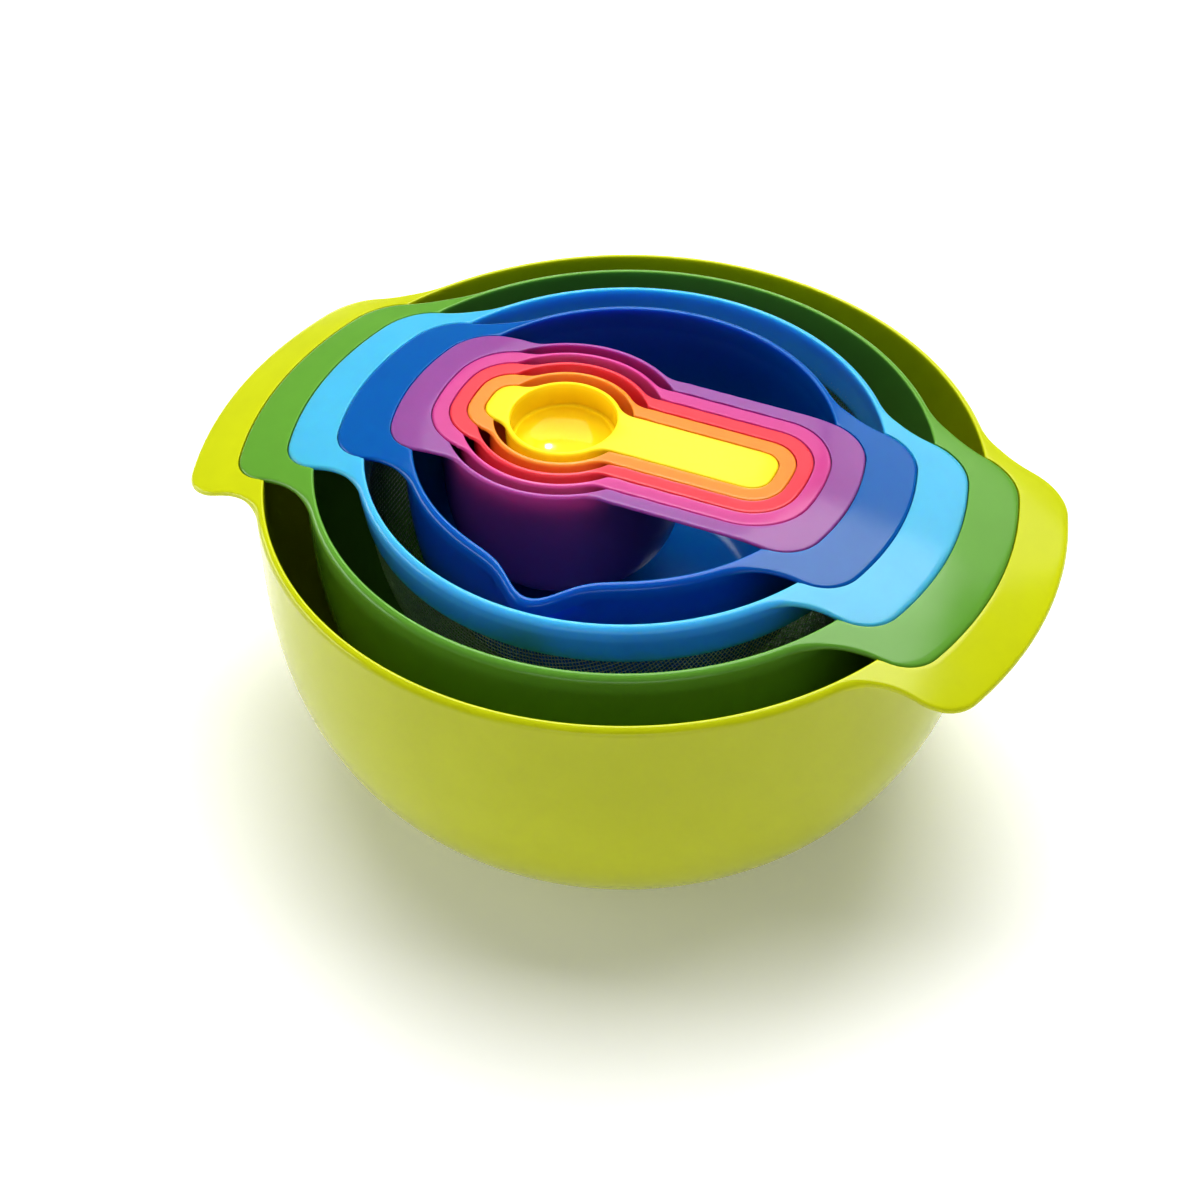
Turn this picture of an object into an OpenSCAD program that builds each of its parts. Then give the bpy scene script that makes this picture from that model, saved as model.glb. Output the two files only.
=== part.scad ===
// Nesting bowl set: mixing bowl, colander, sieve, measuring bowl and five measuring cups.
// Every item drops straight down into the next larger one, and every handle lies flush in a
// recess of the handle below it, so that all the handles together make one shallow dome.
// Frame: +X along the handles, +Z up, origin on the table under the middle of the mixing bowl.

/* [Dome] */
// Radius of the sphere that all the handle tops follow
dome_r = 395; // [340:1:460]
// Height of the top of that sphere above the table
crown_z = 147.9; // [146:0.1:150]
// Height of the flat deck where the cups lie
deck_z = 141.7; // [140:0.1:143]

/* [Bowls] */
// Rim radius of the mixing bowl
mixing_r = 132.8; // [131:0.1:134]
// Rim radius of the colander
colander_r = 114.4; // [113:0.1:115]
// Rim radius of the sieve
sieve_r = 96.1; // [95:0.1:97]
// Rim radius of the measuring bowl
measuring_r = 78.7; // [78:0.1:80]
// Wall thickness at the rim of a bowl
bowl_lip = 3.1; // [2.6:0.1:3.4]
// Wall thickness at the floor of a bowl
bowl_floor = 2.4; // [2:0.1:3]
// Thickness of a bowl's handle
bowl_flange = 2.2; // [1.8:0.1:2.4]
// How far the mixing bowl's handles reach from the middle
mixing_reach = 159.2; // [157:0.1:161]
// Step in reach from each bowl's handle to the next smaller one
reach_pitch = 18.4; // [18:0.1:18.8]
// Half the width of the mixing bowl's handles
mixing_grip = 63.6; // [61:0.1:66]
// Step in half width from each handle to the next smaller one
grip_pitch = 6.95; // [6.6:0.05:7.2]

/* [Cups] */
// Distance of the cups' round part behind the middle
cup_back = 24; // [22:0.5:26]
// Rim radius of the tablespoon
spoon_r = 21.1; // [20.5:0.1:21.5]
// Step in rim radius from each cup to the next larger one
cup_pitch = 5.78; // [5.6:0.02:6]
// Wall thickness of a cup
cup_wall = 1.8; // [1.5:0.1:2]
// Thickness of a cup's handle
cup_flange = 1.6; // [1.4:0.1:1.8]
// How far the tablespoon's handle reaches from the middle
spoon_reach = 57; // [56:0.5:58]
// Half the width of the tablespoon's handle
spoon_grip = 10.3; // [9.8:0.1:10.8]

/* [Nesting fit] */
// Gap between a handle and the recess that it lies in
gap = 0.3; // [0.25:0.05:0.4]
// Thickness of the wall round a recess
web = 1; // [0.8:0.1:1.2]

/* [Depths below the rim] */
// Colander, to the underside of its floor
colander_depth = 110; // [105:1:112]
// Sieve, to the bottom of its mesh
sieve_depth = 92; // [86:1:95]
// Skirt of the sieve's ring
skirt_h = 16.5; // [14:0.5:20]
// Measuring bowl
measuring_depth = 76; // [72:1:80]
// One cup
one_depth = 54; // [51:0.5:56]
// Half cup
half_depth = 45.5; // [44.5:0.1:46]
// Third of a cup
third_depth = 38.7; // [38.4:0.1:39]
// Quarter of a cup
quarter_depth = 32.2; // [31:0.1:32.6]
// Tablespoon
spoon_depth = 16.5; // [15:0.5:18]

/* [Colander holes] */
// Diameter of a drain hole
drain_d = 5; // [4:0.5:6]
// Number of rings of drain holes
drain_rings = 6; // [3:1:6]

/* [Base rings] */
// Width of a non-slip ring
ring_w = 7; // [5:0.5:8]
// Height of a non-slip ring
ring_h = 2.6; // [2.2:0.1:3]
// How far a non-slip ring stands out of its groove
ring_proud = 1.2; // [0.8:0.1:1.4]

/* [Hidden] */

// Levels of the nest, counted outwards from the tablespoon.
spoon = 0;
quarter = 1;
third = 2;
half = 3;
one = 4;
measuring = 5;
sieve = 6;
colander_level = 7;
mixing = 8;

// Plan outline of level i: a disc, and a handle on each side of it. side is 1 for +X, -1 for -X.
rim_rs = [
    for (i = [spoon:one]) spoon_r + i * cup_pitch,
    measuring_r, sieve_r, colander_r, mixing_r,
];
function is_cup(i) = i <= one;
function rim_x(i) = is_cup(i) ? -cup_back : 0;
function lip(i) = is_cup(i) ? cup_wall : bowl_lip;
function flange(i) = is_cup(i) ? cup_flange : bowl_flange;
function reach(i, side) =
    i >= one ? mixing_reach - reach_pitch * (mixing - i) - (i == one && side < 0 ? 1 : 0)
    : side > 0 ? spoon_reach + 5.8 * i : spoon_reach - 4 + 6 * i;
function grip(i) = i < one ? spoon_grip + 6.4 * i : mixing_grip - grip_pitch * (mixing - i);
function corner(i) = i < one ? 7.5 + 5 * i : 17;
neck_rs = [11, 11, 11, 11, 14, 34, 28, 40, 27];

// The neck blends end just inside the rim, so that the handle runs into the lip.
rim_bite = 0.3;

function arc(x, y, r, a0, a1, n) = [
    for (k = [0:n]) let (a = a0 + (a1 - a0) * k / n) [x + r * cos(a), y + r * sin(a)]
];

// Half of a handle's end, from its tip to its flank: an arc about the middle, then a corner arc.
function end_points(tip_r, half_w, corner_r) =
    let (y = half_w - corner_r, x = sqrt(pow(tip_r - corner_r, 2) - y * y), a = atan2(y, x))
    concat(arc(0, 0, tip_r, 0, a, 4), arc(x, y, corner_r, a, 90, 6));

// The hollow blend from the flank to the disc, whose middle is at x = rim_at.
function neck_points(disc_r, half_w, neck_r, rim_at) =
    let (y = half_w + neck_r, run = sqrt(pow(disc_r + neck_r, 2) - y * y))
    arc(rim_at + run, y, neck_r, 270, 180 + atan2(y, run), 6);

function mirrored(points) = [for (k = [len(points) - 1:-1:0]) [points[k][0], -points[k][1]]];

// A handle of level i grown by grown. It runs in to the middle of the disc, or has necks.
module handle_outline(i, side, grown, has_necks) {
    rim_at = side * rim_x(i);
    tip = end_points(reach(i, side) + grown, grip(i) + grown, corner(i) + grown);
    root = has_necks ? neck_points(rim_rs[i] - rim_bite, grip(i), neck_rs[i], rim_at)
        : [[rim_at, grip(i) + grown]];
    half_points = concat(tip, root);
    mirror([side < 0 ? 1 : 0, 0])
    polygon(concat(mirrored(half_points), half_points));
}

// Sides of the round bodies, of the dome, of a lip's bead and of a small hole.
body_fn = 192;
dome_fn = 384;
bead_fn = 24;
hole_fn = 32;

// Everything below the dome and the deck, lowered by depth.
module under(depth) {
    intersection() {
        translate([0, 0, crown_z - dome_r]) sphere(r = dome_r - depth, $fn = dome_fn);
        cylinder(r = 1.2 * mixing_reach, h = deck_z - depth, $fn = body_fn / 2);
    }
}

function dome_z(r) = min(deck_z, crown_z - dome_r + sqrt(dome_r * dome_r - r * r));

// Level i reaches this far down and this far out below the handle of the smaller level j.
function depth_at(i, j) = i == j ? flange(i) : depth_at(i - 1, j) + gap + flange(i);
function growth_at(i, j) = (i - j) * (gap + web);

// The smallest level whose handle reaches over level i.
function first_level(i) = i > measuring ? i - 1 : i == measuring ? half : spoon;

// The stack starts this far below the deck and ends this far above it.
stack_h = 45;
stack_over = 2;

// A stepped prism under the dome: the outside of a handle, or the recess for the next one.
module handle_stack(i, grown) {
    for (j = [first_level(i):i], side = [-1, 1]) {
        difference() {
            translate([0, 0, deck_z - stack_h])
            linear_extrude(stack_h + stack_over)
            handle_outline(j, side, growth_at(i, j) + grown, i == j && grown == 0);
            under(depth_at(i, j) + grown);
        }
    }
}

module handle_solid(i) {
    intersection() {
        handle_stack(i, 0);
        under(0);
    }
}

// Angle between two points of a bowl's profile
curve_step = 7.5;

// Bowl profile: a power curve from the rim radius to the base radius. full = [upwards, outwards]:
// upwards above 2 keeps the upper wall steep, outwards below 2 rounds the foot gently.
function curve_points(rim_radius, base_radius, depth, top_z, full) = [
    for (a = [0:curve_step:90])
    [base_radius + (rim_radius - base_radius) * pow(cos(a), 2 / full[1]),
     top_z - depth * pow(sin(a), 2 / full[0])]
];

module round_body(rim_radius, base_radius, depth, top_z, full) {
    rotate_extrude($fn = body_fn)
    polygon(concat(
        [[0, top_z]],
        curve_points(rim_radius, base_radius, depth, top_z, full),
        [[0, top_z - depth]]
    ));
}

module lip_bead(i, top_z) {
    bead = lip(i) / 2;
    rotate_extrude($fn = body_fn)
    translate([rim_rs[i] - bead, top_z]) circle(r = bead, $fn = bead_fn);
}

function rim_z(i) = dome_z(rim_rs[i] - lip(i) / 2 + (is_cup(i) ? -cup_back : 0)) - lip(i) / 2;

// A hollow is cut open up to this far above the rim
mouth_h = 30;

// A whole bowl or cup: its outside and its handles, less its hollow and the recesses.
module vessel(i, depth, base_radius, floor_t, full) {
    top_z = rim_z(i);
    difference() {
        union() {
            translate([rim_x(i), 0, 0]) {
                round_body(rim_rs[i], base_radius, depth - lip(i) / 2, top_z, full);
                lip_bead(i, top_z);
            }
            handle_solid(i);
        }
        translate([rim_x(i), 0, 0]) {
            round_body(rim_rs[i] - lip(i), base_radius - floor_t, depth - lip(i) / 2 - floor_t, top_z, full);
            translate([0, 0, top_z - 1]) cylinder(r = rim_rs[i] - lip(i), h = mouth_h, $fn = body_fn);
        }
        if (i > spoon) {
            handle_stack(i - 1, gap);
        }
    }
}

// The mixing bowl is as deep as it takes to put its non-slip ring on the table at z = 0.
mixing_depth = rim_z(mixing) + lip(mixing) / 2 - ring_proud;

// Base radius and fullness of each bowl, cup and of the sieve's mesh.
mixing_base = 79;
mixing_full = [3.2, 1.4];
colander_base = 60;
colander_full = [2.7, 1.5];
mesh_base = 30;
mesh_full = [2.4, 1.7];
measuring_base = 47;
measuring_full = [2.9, 1.5];
one_base = 32;
one_full = [4, 1.7];
half_base = 20;
half_full = [2.5, 1.4];
third_base = 21.5;
third_full = [3.1, 1.65];
quarter_base = 23;
quarter_full = [8, 2.2];
spoon_base = 14;
spoon_full = [5, 2];

// A floor with a non-slip ring in it is this much thicker than the ring is high.
ring_cover = 0.8;

// Middle radius of each non-slip ring.
mixing_ring_r = 66;
measuring_ring_r = 38;

module base_ring(middle_r, base_z) {
    translate([0, 0, base_z - ring_proud])
    difference() {
        cylinder(r = middle_r + ring_w / 2, h = ring_h, $fn = body_fn);
        translate([0, 0, -1]) cylinder(r = middle_r - ring_w / 2, h = ring_h + 2, $fn = body_fn);
    }
}

function base_z(i, depth) = rim_z(i) + lip(i) / 2 - depth;

module mixing_bowl() {
    color("yellowgreen")
    difference() {
        vessel(mixing, mixing_depth, mixing_base, ring_h + ring_cover, mixing_full);
        base_ring(mixing_ring_r, base_z(mixing, mixing_depth));
    }
}

module mixing_bowl_base_ring() {
    color("olivedrab") base_ring(mixing_ring_r, base_z(mixing, mixing_depth));
}

// Drain holes stand on rings round one middle hole, all drilled straight down.
drain_pitch = 10.4;
drain_h = 60;

module drain_holes() {
    cylinder(d = drain_d, h = drain_h, $fn = hole_fn);
    for (ring = [1:drain_rings], k = [0:6 * ring - 1]) {
        rotate((k + 0.5) * 60 / ring)
        translate([ring * drain_pitch, 0, 0])
        cylinder(d = drain_d, h = drain_h, $fn = hole_fn);
    }
}

module colander() {
    color("forestgreen")
    difference() {
        vessel(colander_level, colander_depth, colander_base, bowl_floor, colander_full);
        translate([0, 0, base_z(colander_level, colander_depth) - 1]) drain_holes();
    }
}

// The sieve's ring ends in a skirt, and the mesh hangs from a step inside the skirt's foot.
skirt_r = sieve_r - 1.6;
skirt_t = 2.4;
mesh_t = 1;
mesh_seat = 4;

module sieve_frame() {
    top_z = rim_z(sieve);
    foot_z = top_z + bowl_lip / 2 - skirt_h;
    color("deepskyblue")
    difference() {
        union() {
            rotate_extrude($fn = body_fn)
            polygon([
                [sieve_r - bowl_lip, top_z], [sieve_r, top_z],
                [skirt_r, foot_z], [skirt_r - skirt_t, foot_z],
            ]);
            lip_bead(sieve, top_z);
            difference() {
                handle_solid(sieve);
                cylinder(r = sieve_r - bowl_lip, h = 2 * crown_z, $fn = body_fn);
            }
        }
        handle_stack(measuring, gap);
        translate([0, 0, foot_z - 1])
        cylinder(r = skirt_r - skirt_t + mesh_t, h = 1 + mesh_seat, $fn = body_fn);
    }
}

module sieve_mesh() {
    top_r = skirt_r - skirt_t + mesh_t;
    seat_z = rim_z(sieve) + bowl_lip / 2 - skirt_h + mesh_seat;
    depth = sieve_depth - skirt_h + mesh_seat;
    color("dimgray")
    difference() {
        round_body(top_r, mesh_base, depth, seat_z, mesh_full);
        round_body(top_r - mesh_t, mesh_base - mesh_t, depth - mesh_t, seat_z, mesh_full);
    }
}

// The pouring spout is a beak on the -Y side that fades into the wall below.
spout_reach = 90.5;
spout_tip_r = 5;
spout_root_r = 26;
spout_lip_h = 2.5;
spout_h = 30;
spout_foot_r = 5;
spout_foot_in = 10;

module spout(inset) {
    top_z = dome_z(measuring_r);
    hull() {
        translate([0, spout_tip_r - spout_reach, top_z - spout_lip_h])
        cylinder(r = spout_tip_r - inset, h = spout_lip_h + inset, $fn = hole_fn);
        translate([0, spout_root_r - measuring_r, top_z - spout_lip_h])
        cylinder(r = spout_root_r - inset, h = spout_lip_h + inset, $fn = hole_fn);
        translate([0, spout_foot_in - measuring_r, top_z - spout_h + inset])
        cylinder(r = spout_foot_r - inset / 2, h = 1, $fn = hole_fn);
    }
}

module measuring_bowl() {
    color("mediumblue")
    difference() {
        union() {
            vessel(measuring, measuring_depth, measuring_base, ring_h + ring_cover, measuring_full);
            difference() {
                spout(0);
                translate([0, 0, dome_z(measuring_r) - spout_h - 1])
                cylinder(r = measuring_r - bowl_lip / 2, h = spout_h + 2, $fn = body_fn);
            }
        }
        spout(bowl_floor);
        base_ring(measuring_ring_r, base_z(measuring, measuring_depth));
    }
}

module measuring_bowl_base_ring() {
    color("navy") base_ring(measuring_ring_r, base_z(measuring, measuring_depth));
}

module one_cup() {
    color("darkorchid") vessel(one, one_depth, one_base, cup_wall, one_full);
}

module half_cup() {
    color("deeppink") vessel(half, half_depth, half_base, cup_wall, half_full);
}

module third_cup() {
    color("crimson") vessel(third, third_depth, third_base, cup_wall, third_full);
}

module quarter_cup() {
    color("darkorange") vessel(quarter, quarter_depth, quarter_base, cup_wall, quarter_full);
}

module tablespoon() {
    color("gold") vessel(spoon, spoon_depth, spoon_base, cup_wall, spoon_full);
}

mixing_bowl();
mixing_bowl_base_ring();
colander();
sieve_frame();
sieve_mesh();
measuring_bowl();
measuring_bowl_base_ring();
one_cup();
half_cup();
third_cup();
quarter_cup();
tablespoon();
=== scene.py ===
import math

import bmesh
import bpy
import numpy as np
from mathutils import Matrix, Vector


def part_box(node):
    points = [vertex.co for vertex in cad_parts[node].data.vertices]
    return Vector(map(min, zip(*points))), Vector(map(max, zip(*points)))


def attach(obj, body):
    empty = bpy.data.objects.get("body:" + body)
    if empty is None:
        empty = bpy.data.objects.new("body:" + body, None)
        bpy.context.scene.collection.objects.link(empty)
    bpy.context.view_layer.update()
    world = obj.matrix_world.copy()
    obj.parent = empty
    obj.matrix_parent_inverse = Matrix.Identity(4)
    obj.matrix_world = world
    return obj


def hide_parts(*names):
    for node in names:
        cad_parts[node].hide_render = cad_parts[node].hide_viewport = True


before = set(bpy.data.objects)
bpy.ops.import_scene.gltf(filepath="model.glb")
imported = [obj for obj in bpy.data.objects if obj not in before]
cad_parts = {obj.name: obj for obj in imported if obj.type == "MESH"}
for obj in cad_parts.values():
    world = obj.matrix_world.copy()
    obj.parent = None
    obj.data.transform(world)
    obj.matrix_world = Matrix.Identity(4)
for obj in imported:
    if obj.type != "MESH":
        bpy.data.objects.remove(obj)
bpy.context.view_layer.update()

# All shapes are worked out in millimetres and turned into metres when a mesh is made.
MM = 0.001


def span(node, axis):
    """A node's lowest and highest value along an axis, in millimetres."""
    low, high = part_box(node)
    return low[axis] / MM, high[axis] / MM


# ---------------------------------------------------------------- the nest's common shape

# The nine items, counted outwards. Each has a disc and a handle on each side of it.
NODES = ["tablespoon", "quarter_cup", "third_cup", "half_cup", "one_cup",
         "measuring_bowl", "sieve_frame", "colander", "mixing_bowl"]
SPOON, QUARTER, THIRD, HALF, ONE, MEASURING, SIEVE, COLANDER, MIXING = range(9)

# The handles' tops make one dome, which a flat deck cuts off over the cups.
DOME_RADIUS = 395.0
CROWN_Z = 147.9
DECK_Z = span("tablespoon", 2)[1]
# Size of the soft edge between the dome and the deck.
DECK_BLEND = 0.35
# The gap round each nested handle, and the wall that stands round its recess.
GAP = 0.3
WEB = 1.0
# How far behind the middle of the nest the cups' discs stand.
CUP_BACK = 24.0
CUP_LIP = 1.8
BOWL_LIP = 3.1
CUP_FLANGE = 1.6
BOWL_FLANGE = 2.2

# For each level: the radius of the handle's corners, the radius of the hollow blend where the
# handle meets the disc, and half the handle's width.
CORNER = [7.5, 12.5, 17.5, 22.5, 17, 17, 17, 17, 17]
NECK = [11, 11, 11, 11, 14, 34, 28, 40, 27]
GRIP = [10.3, 16.7, 23.1, 29.5, 35.8, 42.75, 49.7, 56.65, 63.6]
# The far side of the measuring bowl has no spout, so its rim radius is read there.
RIM = [span(node, 1)[1] for node in NODES]
FRONT = [span(node, 0)[1] for node in NODES]
BACK = [-span(node, 0)[0] for node in NODES]


def is_cup(level):
    return level <= ONE


def lip_of(level):
    return CUP_LIP if is_cup(level) else BOWL_LIP


def flange_of(level):
    return CUP_FLANGE if is_cup(level) else BOWL_FLANGE


def disc_x(level):
    return -CUP_BACK if is_cup(level) else 0.0


def depth_at(level, smaller):
    """How far the handle of a level reaches down below the handle of a smaller level."""
    if level == smaller:
        return flange_of(level)
    return depth_at(level - 1, smaller) + GAP + flange_of(level)


def first_level(level):
    """The smallest level whose handle reaches over this one."""
    if level > MEASURING:
        return level - 1
    return HALF if level == MEASURING else SPOON


def smooth(t):
    t = np.clip(t, 0.0, 1.0)
    return t * t * (3.0 - 2.0 * t)


def lid_z(radius, depth):
    """Height of the dome that the handles make, cut by the flat deck of the cups, lowered by depth."""
    reach = DOME_RADIUS - depth
    dome = CROWN_Z - DOME_RADIUS + np.sqrt(np.maximum(reach * reach - radius * radius, 0.0))
    deck = DECK_Z - depth
    low = np.minimum(dome, deck)
    return low - DECK_BLEND * np.log1p(np.exp(-np.abs(dome - deck) / DECK_BLEND))


# ---------------------------------------------------------------- plan outlines

# Points on each arc of an outline, and on its disc.
ARC_POINTS = 60
DISC_POINTS = 400
# How many times more points an outline has when its reach is measured.
DENSER = 8


def arc(x, y, radius, start, end, count):
    angles = np.linspace(start, end, count)
    return np.stack([x + radius * np.cos(angles), y + radius * np.sin(angles)], 1)


def end_points(tip, half_width, corner):
    """Half of a handle's end: an arc about the middle, then a corner arc on to the flank."""
    y = half_width - corner
    x = math.sqrt((tip - corner) ** 2 - y * y)
    turn = math.atan2(y, x)
    end = arc(0, 0, tip, 0, turn, ARC_POINTS)
    return np.concatenate([end, arc(x, y, corner, turn, math.pi / 2, ARC_POINTS)])


def neck_points(disc, half_width, neck, disc_at):
    """The hollow blend from the flank to the disc, whose middle is at x = disc_at."""
    y = half_width + neck
    run = math.sqrt((disc + neck) ** 2 - y * y)
    return arc(disc_at + run, y, neck, 1.5 * math.pi, math.pi + math.atan2(y, run), ARC_POINTS)


def upper_outline(level, grown, whole):
    """The upper half of a level's outline, from its front tip to its back tip."""
    halves = []
    for side, tip in ((1, FRONT[level]), (-1, BACK[level])):
        points = end_points(tip + grown, GRIP[level] + grown, CORNER[level] + grown)
        if whole:
            neck = neck_points(RIM[level] + grown, GRIP[level] + grown, NECK[level] - grown,
                               side * disc_x(level))
            points = np.concatenate([points, neck])
        points[:, 0] *= side
        halves.append(points)
    front, back = halves[0], halves[1][::-1]
    if not whole:
        return np.concatenate([front, back])
    middle = disc_x(level)
    start = math.atan2(front[-1, 1], front[-1, 0] - middle)
    end = math.atan2(back[0, 1], back[0, 0] - middle)
    disc = arc(middle, 0, RIM[level] + grown, start, end, DISC_POINTS)
    return np.concatenate([front, disc[1:-1], back])


def outline_reach(level, grown, whole, angles, middle):
    """Distance from the point (middle, 0) to the outline, along each angle."""
    points = upper_outline(level, grown, whole)
    index = np.arange(len(points))
    dense = np.linspace(0, len(points) - 1, DENSER * len(points))
    x = np.interp(dense, index, points[:, 0]) - middle
    y = np.interp(dense, index, points[:, 1])
    folded = np.abs((angles + math.pi) % (2 * math.pi) - math.pi)
    return np.interp(folded, np.arctan2(y, x), np.hypot(x, y))


# Half the angle between the two stations that stand at a recess's corner.
CORNER_STEP = 0.0012


def stations(level, spacing):
    """Angles round the disc, evenly spaced along the outline, and at each corner of a recess."""
    middle = disc_x(level)
    points = upper_outline(level, 0.0, True)
    steps = np.hypot(*np.diff(points, axis=0).T)
    length = np.concatenate([[0.0], np.cumsum(steps)])
    even = np.linspace(0.0, length[-1], int(length[-1] / spacing) + 1)
    x = np.interp(even, length, points[:, 0]) - middle
    y = np.interp(even, length, points[:, 1])
    upper = list(np.arctan2(y, x))
    corners = []
    for smaller, grown in recesses(level):
        corners.append(math.asin((GRIP[smaller] + grown) / (RIM[level] - lip_of(level))))
    for smaller, grown in troughs(level):
        corners.append(math.asin((GRIP[smaller] + grown) / RIM[level]))
    for corner in corners:
        for step in (-CORNER_STEP, CORNER_STEP):
            upper += [corner + step, math.pi - corner - step]
    upper = np.array(sorted(upper))
    keep = np.concatenate([[True], np.diff(upper) > 0.5 * CORNER_STEP])
    upper = upper[keep]
    return np.concatenate([upper, -upper[-2:0:-1]])


def recesses(level):
    """The smaller handles that the recess in a level's handle is cut for, and how much wider it is."""
    if level == SPOON:
        return []
    smaller = range(first_level(level - 1), level)
    return [(j, (level - 1 - j) * (GAP + WEB) + GAP) for j in smaller]


def troughs(level):
    """The steps on a handle's underside, from the outside in."""
    smaller = range(level - 1, first_level(level) - 1, -1)
    return [(j, (level - j) * (GAP + WEB)) for j in smaller]


# ---------------------------------------------------------------- cross-sections

# The furthest that an edge is moved in or out by its rounding, and how many lines are drawn on the way.
MAX_INSET = 2.2
INSET_STEPS = 6
GROWTH_STEPS = 4


def power_curve(rim, base, depth, top_z, fullness, start, count):
    """Wall from the angle start, one for each station, down to the base radius."""
    rows = []
    for t in np.linspace(0.0, 1.0, count):
        angle = start + (math.pi / 2 - start) * t
        radius = base + (rim - base) * np.cos(angle).clip(0, 1) ** (2 / fullness[1])
        rows.append((radius, top_z - depth * np.sin(angle) ** (2 / fullness[0])))
    return rows


def start_angle(depth, top_z, z, fullness):
    """The angle at which a power curve passes the height z."""
    share = np.clip((top_z - z) / depth, 0.0, 1.0)
    return np.arcsin(share ** (fullness[0] / 2))


class Section:
    """A cross-section drawn station by station, as a list of (radius, height) arrays."""

    def __init__(self, level, angles):
        self.level = level
        self.angles = angles
        self.middle = disc_x(level)
        self.bulge = spout_bulge(level, angles)
        self.rows = []

    def lid(self, radius, depth):
        x = self.middle + radius * np.cos(self.angles)
        y = radius * np.sin(self.angles)
        return lid_z(np.hypot(x, y), depth)

    def at_depth(self, radius, depth):
        radius = radius + np.zeros_like(self.angles)
        self.rows.append((radius, self.lid(radius, depth)))

    def plateau(self, start, end, depth, count):
        for t in np.linspace(0.0, 1.0, count + 2)[1:-1]:
            self.at_depth(start + (end - start) * t, depth)

    def strip(self, smaller, grown):
        return outline_reach(smaller, grown, False, self.angles, self.middle)

    def outer_edge(self, inset):
        """The outline moved inwards by inset, which differs from station to station."""
        insets = np.linspace(0.0, MAX_INSET, INSET_STEPS)
        lines = [outline_reach(self.level, -g, True, self.angles, self.middle) for g in insets]
        return per_station(inset, insets, lines) + self.bulge

    def inner_edge(self, grown):
        """The hollow's edge, or the recess's where it reaches further out, moved outwards."""
        rim = RIM[self.level] - lip_of(self.level) + self.bulge
        if not recesses(self.level):
            return rim + grown
        smaller, wider = recesses(self.level)[-1]
        steps = np.linspace(0.0, MAX_INSET, GROWTH_STEPS)
        lines = [self.strip(smaller, wider + g) for g in steps]
        return np.maximum(rim + grown, per_station(grown, steps, lines))


def per_station(value, steps, lines):
    """Reads each station's own value between the lines, which were drawn for the steps."""
    at = np.clip(value, steps[0], steps[-1]) / steps[1]
    low = np.clip(at.astype(int), 0, len(steps) - 2)
    share = at - low
    lines = np.array(lines)
    station = np.arange(lines.shape[1])
    return lines[low, station] * (1 - share) + lines[low + 1, station] * share


# Radius of the edge round a recess.
RECESS_EDGE = 0.25
# The shares of a lip's width that its inner and outer edges are rounded by.
INNER_ROUND = 0.3
OUTER_ROUND = 0.66
# The distances over which a lip's edge turns into a recess's edge and a handle's edge.
INTO_RECESS = 2.0
INTO_HANDLE = 5.0
# Rows on a recess's floor, on the flat of a top, on a top's edges and on an underside's edges.
STEP_ROWS = 3
TOP_ROWS = 9
EDGE_ROWS = 6
LOW_EDGE_ROWS = 5


def draw_top(section):
    """From the top of the inner wall over the recesses and the handle's top to its outer edge."""
    level = section.level
    lip = lip_of(level)
    nothing = np.zeros_like(section.angles)
    inner = RIM[level] - lip + section.bulge
    outer = section.outer_edge(nothing)
    at_handle = smooth((outer - section.bulge - RIM[level]) / INTO_HANDLE)
    edge_at = inner
    for smaller, wider in recesses(level):
        reach = np.maximum(section.strip(smaller, wider), edge_at)
        depth = depth_at(level - 1, smaller) + GAP
        section.at_depth(edge_at, depth)
        section.plateau(edge_at, reach, depth, STEP_ROWS)
        section.at_depth(reach, depth)
        edge_at = reach
    in_recess = smooth((edge_at - inner) / INTO_RECESS)
    inner_size = (INNER_ROUND * lip) * (1 - in_recess) + RECESS_EDGE * in_recess
    outer_size = (OUTER_ROUND * lip) * (1 - at_handle) + (0.5 * flange_of(level)) * at_handle
    turns = np.linspace(0.0, math.pi / 2, EDGE_ROWS)
    for turn in turns:
        section.at_depth(section.inner_edge(inner_size * (1 - math.cos(turn))),
                         inner_size * (1 - math.sin(turn)))
    section.plateau(section.inner_edge(inner_size), section.outer_edge(outer_size), 0.0, TOP_ROWS)
    for turn in turns[::-1]:
        section.at_depth(section.outer_edge(outer_size * (1 - math.cos(turn))),
                         outer_size * (1 - math.sin(turn)))
    return outer_size


# Radius of the hollow blend between a handle's underside and the wall.
FILLET = 2.5


def draw_underside(section, size):
    """From the outer edge back under the handle and its recesses to the outer wall."""
    level = section.level
    wall = RIM[level] + section.bulge
    flange = flange_of(level)
    low_size = np.minimum(size, 0.5 * flange)
    for turn in np.linspace(0.0, math.pi / 2, LOW_EDGE_ROWS):
        radius = np.maximum(section.outer_edge(low_size * (1 - math.cos(turn))), wall)
        section.at_depth(radius, np.maximum(flange - low_size * (1 - math.sin(turn)), size))
    previous = section.rows[-1][0]
    depth = np.maximum(flange, size)
    for smaller, wider in troughs(level):
        reach = np.clip(section.strip(smaller, wider), wall, previous)
        section.plateau(previous, reach, depth, STEP_ROWS)
        section.at_depth(reach, depth)
        depth = depth_at(level, smaller)
        section.at_depth(reach, depth)
        previous = reach
    fillet = np.minimum(FILLET, 0.45 * (previous - wall))
    section.plateau(previous, wall + fillet, depth, STEP_ROWS)
    for turn in np.linspace(0.0, math.pi / 2, LOW_EDGE_ROWS):
        section.at_depth(wall + fillet * (1 - math.sin(turn)), depth + fillet * (1 - math.cos(turn)))


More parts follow.
